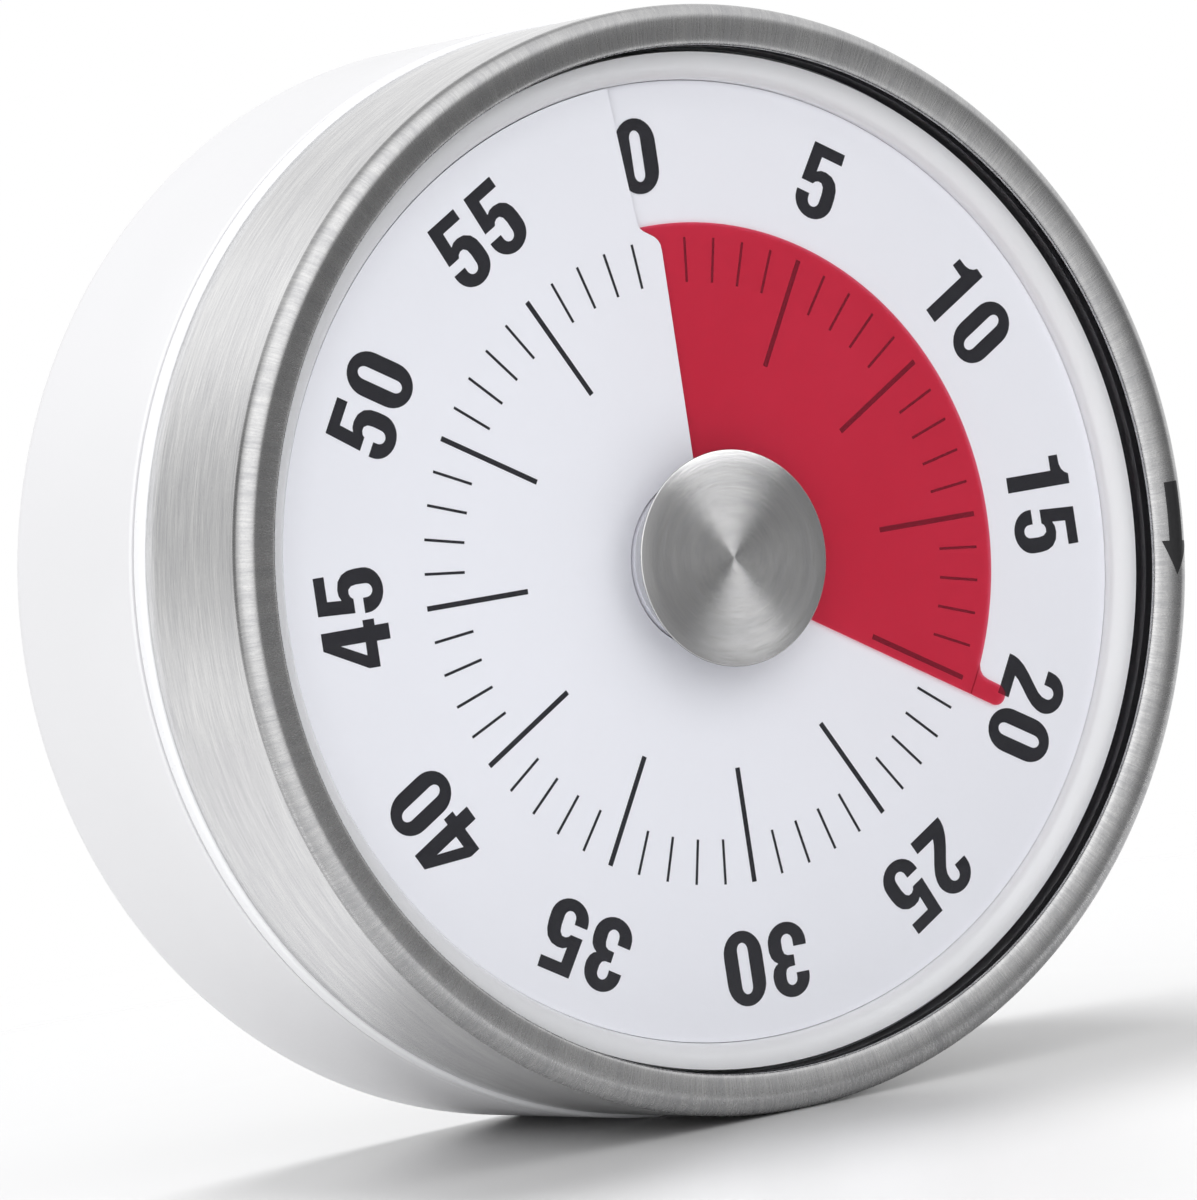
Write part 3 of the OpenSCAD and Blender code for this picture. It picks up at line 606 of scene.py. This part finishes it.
rl = math.sqrt(24.45 ** 2 - 0.75 ** 2)
loop = [(0.75, rl), (0.76, 24.9)] + arc(-0.01, 26.5, 0.77, 0, 180, 20) + [(-0.8, 25.4), (-0.9, 24.95), (-1.15, 24.62)]
ang = [math.degrees(math.atan2(-1.55, 24.4)) + (math.degrees(math.atan2(0.75, rl)) - math.degrees(math.atan2(-1.55, 24.4))) * k / 10 for k in range(0, 10)]
loop += [(24.45 * math.sin(D(a)), 24.45 * math.cos(D(a))) for a in ang]
print_solid([loop], point_place, pv, pf)
finger = fix_normals(make("film_pointer", pv, pf, FILM, smooth=False))
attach(finger, "red_film")

# ---------------------------------------------------------------- ring's arrow
av, af = [], []


def on_ring(u, v, side):
    """u: clockwise angle in degrees, v: radius"""
    r = v
    if r <= ci:
        rows = [(ci, 0.0), (38.35, -0.035), (37.9, -0.12), (37.5, -0.215), (37.28, -0.275)]
        z, slope = RING_FRONT + rows[-1][1], -0.2
        for (r1, z1), (r0, z0) in zip(rows, rows[1:]):
            if r0 <= r <= r1:
                z, slope = RING_FRONT + z0 + (z1 - z0) * (r - r0) / (r1 - r0), -(z1 - z0) / (r1 - r0)
        nr_, nz_ = slope, 1.0
    else:
        z = RING_FRONT - RING_ROUND + math.sqrt(max(0.0, RING_ROUND ** 2 - (r - ci) ** 2))
        nr_, nz_ = (r - ci) / RING_ROUND, math.sqrt(max(0.0, 1 - ((r - ci) / RING_ROUND) ** 2))
    d = 0.016 if side else -0.02
    r, z = r + nr_ * d, z + nz_ * d
    return P(r * math.sin(D(u)), r * math.cos(D(u)), z)


def strip(rows):
    """Closed solid over rows of (angle, inner radius, outer radius), divided across."""
    k = 8
    base = len(av)
    for a, r0, r1 in rows:
        for s in (1, 0):
            for j in range(k + 1):
                av.append(on_ring(a, r0 + (r1 - r0) * j / k, s))
    w = 2 * (k + 1)
    g = lambda i, j, s: base + i * w + s * (k + 1) + j
    n = len(rows) - 1
    for i in range(n):
        for j in range(k):
            af.append((g(i, j, 0), g(i, j + 1, 0), g(i + 1, j + 1, 0), g(i + 1, j, 0)))
            af.append((g(i, j, 1), g(i + 1, j, 1), g(i + 1, j + 1, 1), g(i, j + 1, 1)))
        af.append((g(i, 0, 0), g(i + 1, 0, 0), g(i + 1, 0, 1), g(i, 0, 1)))
        af.append((g(i, k, 0), g(i, k, 1), g(i + 1, k, 1), g(i + 1, k, 0)))
    for j in range(k):
        af.append((g(0, j, 0), g(0, j, 1), g(0, j + 1, 1), g(0, j + 1, 0)))
        af.append((g(n, j, 0), g(n, j + 1, 0), g(n, j + 1, 1), g(n, j, 1)))


RA = 38.75
strip([(90.0 + 6.5 * i / 12, RA - 0.58, RA + 0.58) for i in range(13)])
strip([(96.5 + 3.7 * i / 10, RA - 1.18 * (1 - i / 10) - 0.01, RA + 1.18 * (1 - i / 10) + 0.01) for i in range(11)])
arrow = fix_normals(make("turn_arrow", av, af, ARROW, smooth=False))
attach(arrow, "grip_ring")

# ----------------------------------------------- materials of the CAD's pieces
GIVEN = {
    BODY: ["rear_cover"], PAD: ["rear_pad"], MAGNET: ["magnets"], SCREW: ["cover_screws", "plate_screws", "seat_screws", "bell_screw"],
    BRASS: ["back_plate", "front_plate", "bell_post"], ARBOR: ["pillars", "main_arbor", "second_arbor", "third_arbor", "escape_arbor",
    "pallet_arbor", "balance_staff", "alarm_arbor", "hammer_arbor", "hammer", "release_lever"],
    WHEEL: ["great_wheel", "second_wheel", "third_wheel", "escape_wheel", "pallet_lever", "balance_wheel", "alarm_wheel", "strike_anchor"],
    SPRING: ["mainspring", "hairspring"], BELL: ["bell"], INNER: ["dial_seat", "drive_hub", "release_cam"], DIAL: ["film_hub"],
}
for mat, names in GIVEN.items():
    for name in names:
        for s in NODES[name].material_slots:
            s.material = mat

# ------------------------------------------------------------------ the studio
m = Mat("floor_pale")
x, y, z = m.xyz()
far = m.math("POWER", m.math("ADD", m.math("MULTIPLY", x, x), m.math("MULTIPLY", y, y)), 0.5)
df = m.principled(color=(0.42, 0.42, 0.423), rough=0.3, spec=0.25, normal=m.bump(m.noise(900.0, 3.0, 0.5), 0.02, 0.00005))
tr = m.node("BsdfTransparent")
mx = m.node("MixShader")
m.link(m.ramp(far, 0.06, 0.20), mx.inputs[0])
m.link(df, mx.inputs[1])
m.link(tr.outputs[0], mx.inputs[2])
FLOOR = m.done(mx.outputs[0])
fv, ff = [], []
rings, seg = 40, 96
for i in range(rings + 1):
    r = 600.0 * (i / rings) ** 1.5
    for j in range(seg):
        a = 2 * math.pi * j / seg
        fv.append(Vector((r * math.cos(a), r * math.sin(a) - 15, -40.0)) * 0.001)
for i in range(rings):
    for j in range(seg):
        k = (j + 1) % seg
        ff.append((i * seg + j, i * seg + k, (i + 1) * seg + k, (i + 1) * seg + j))
floor = make("floor", fv, ff, FLOOR, smooth=False)

world = bpy.data.worlds.new("studio")
bpy.context.scene.world = world
world.use_nodes = True
wt = world.node_tree
wt.nodes.clear()
wo = wt.nodes.new("ShaderNodeOutputWorld")
lp = wt.nodes.new("ShaderNodeLightPath")
white = wt.nodes.new("ShaderNodeBackground")
white.inputs[0].default_value = (1, 1, 1, 1)
white.inputs[1].default_value = 1.0
soft = wt.nodes.new("ShaderNodeBackground")
soft.inputs[1].default_value = 1.0
wm = wt.nodes.new("ShaderNodeMixShader")
wt.links.new(lp.outputs["Is Camera Ray"], wm.inputs[0])
wt.links.new(soft.outputs[0], wm.inputs[1])
wt.links.new(white.outputs[0], wm.inputs[2])
wt.links.new(wm.outputs[0], wo.inputs[0])
tc = wt.nodes.new("ShaderNodeTexCoord")
nrmz = wt.nodes.new("ShaderNodeVectorMath")
nrmz.operation = "NORMALIZE"
wt.links.new(tc.outputs["Generated"], nrmz.inputs[0])


def wnode(kind, **kw):
    nd = wt.nodes.new("ShaderNode" + kind)
    for k, v in kw.items():
        setattr(nd, k, v)
    return nd


def wmath(op, a, b=0.0):
    nd = wnode("Math", operation=op)
    for i, q in enumerate((a, b)):
        if isinstance(q, (int, float)):
            nd.inputs[i].default_value = q
        else:
            wt.links.new(q, nd.inputs[i])
    return nd.outputs[0]


def wramp(fac, lo, hi, vlo, vhi):
    nd = wnode("MapRange", interpolation_type="SMOOTHSTEP", clamp=True)
    wt.links.new(fac, nd.inputs["Value"])
    for k, v in (("From Min", lo), ("From Max", hi), ("To Min", vlo), ("To Max", vhi)):
        nd.inputs[k].default_value = v
    return nd.outputs[0]


# Plain studio: an even surround a little brighter above, one broad soft box above, in front and
# to the left, and three dark cards for the steel to show. Each is a direction, the degrees from
# it inside which it is full, the degrees at which it has faded out, and how much it adds.
EVEN, ABOVE = 0.98, 0.20
CARDS = [
    ((-0.55, -0.70, 0.45), 20, 65, 0.80),
    ((0.70, -0.70, -0.10), 15, 42, -0.75),
    ((0.10, 0.55, 0.85), 8, 30, -0.60),
    ((-0.72, 0.65, 0.26), 10, 26, -0.80),
]
sep = wnode("SeparateXYZ")
wt.links.new(nrmz.outputs[0], sep.inputs[0])
acc = wmath("ADD", wmath("MULTIPLY", sep.outputs[2], ABOVE), EVEN)
for towards, full, gone, adds in CARDS:
    dot = wnode("VectorMath", operation="DOT_PRODUCT")
    wt.links.new(nrmz.outputs[0], dot.inputs[0])
    dot.inputs[1].default_value = Vector(towards).normalized()
    acc = wmath("ADD", acc, wramp(dot.outputs["Value"], math.cos(D(gone)), math.cos(D(full)), 0.0, adds))
acc = wmath("MAXIMUM", acc, 0.05)
comb = wt.nodes.new("ShaderNodeCombineColor")
for i in range(3):
    wt.links.new(acc, comb.inputs[i])
wt.links.new(comb.outputs[0], soft.inputs[0])


# The floor's own lamps, which leave the timer alone, so that its shadow falls short and soft.
floor_only = bpy.data.collections.new("floor_only")
floor_only.objects.link(floor)


def floor_sun(name, turned_left, height, power):
    """A broad sun on the floor alone: degrees left of straight behind, and degrees up."""
    b, h = D(turned_left), D(height)
    away = (Vector((0.51, 0.86, 0)) * math.cos(b) - Vector((0.86, -0.51, 0)) * math.sin(b)) * math.cos(h) + Vector((0, 0, math.sin(h)))
    ld = bpy.data.lights.new(name, "SUN")
    ld.energy = power
    ld.angle = D(24)
    ob = bpy.data.objects.new(name, ld)
    bpy.context.scene.collection.objects.link(ob)
    ob.rotation_mode = "QUATERNION"
    ob.rotation_quaternion = (-away).to_track_quat("-Z", "Y")
    ob.light_linking.receiver_collection = floor_only
    return ob


floor_sun("floor_sun_1", 30, 70, 3.00)
floor_sun("floor_sun_2", 90, 32, 1.40)
floor_sun("floor_sun_3", -90, 20, 0.50)

# one soft box above and to the right that lifts the spun cap's two bright fans
cap_only = bpy.data.collections.new("cap_only")
cap_only.objects.link(cap)
ld = bpy.data.lights.new("cap_box", "AREA")
ld.energy = 1.6
ld.shape = "RECTANGLE"
ld.size = 0.34
ld.size_y = 0.34
ob = bpy.data.objects.new("cap_box", ld)
bpy.context.scene.collection.objects.link(ob)
ob.location = (0.46, -0.72, 0.28)
ob.rotation_mode = "QUATERNION"
ob.rotation_quaternion = (-Vector(ob.location)).to_track_quat("-Z", "Y")
ob.visible_camera = False
ob.light_linking.receiver_collection = cap_only

sc = bpy.context.scene
sc.view_settings.view_transform = "Standard"
sc.view_settings.look = "None"
sc.view_settings.exposure = 0.0
sc.view_settings.gamma = 1.0
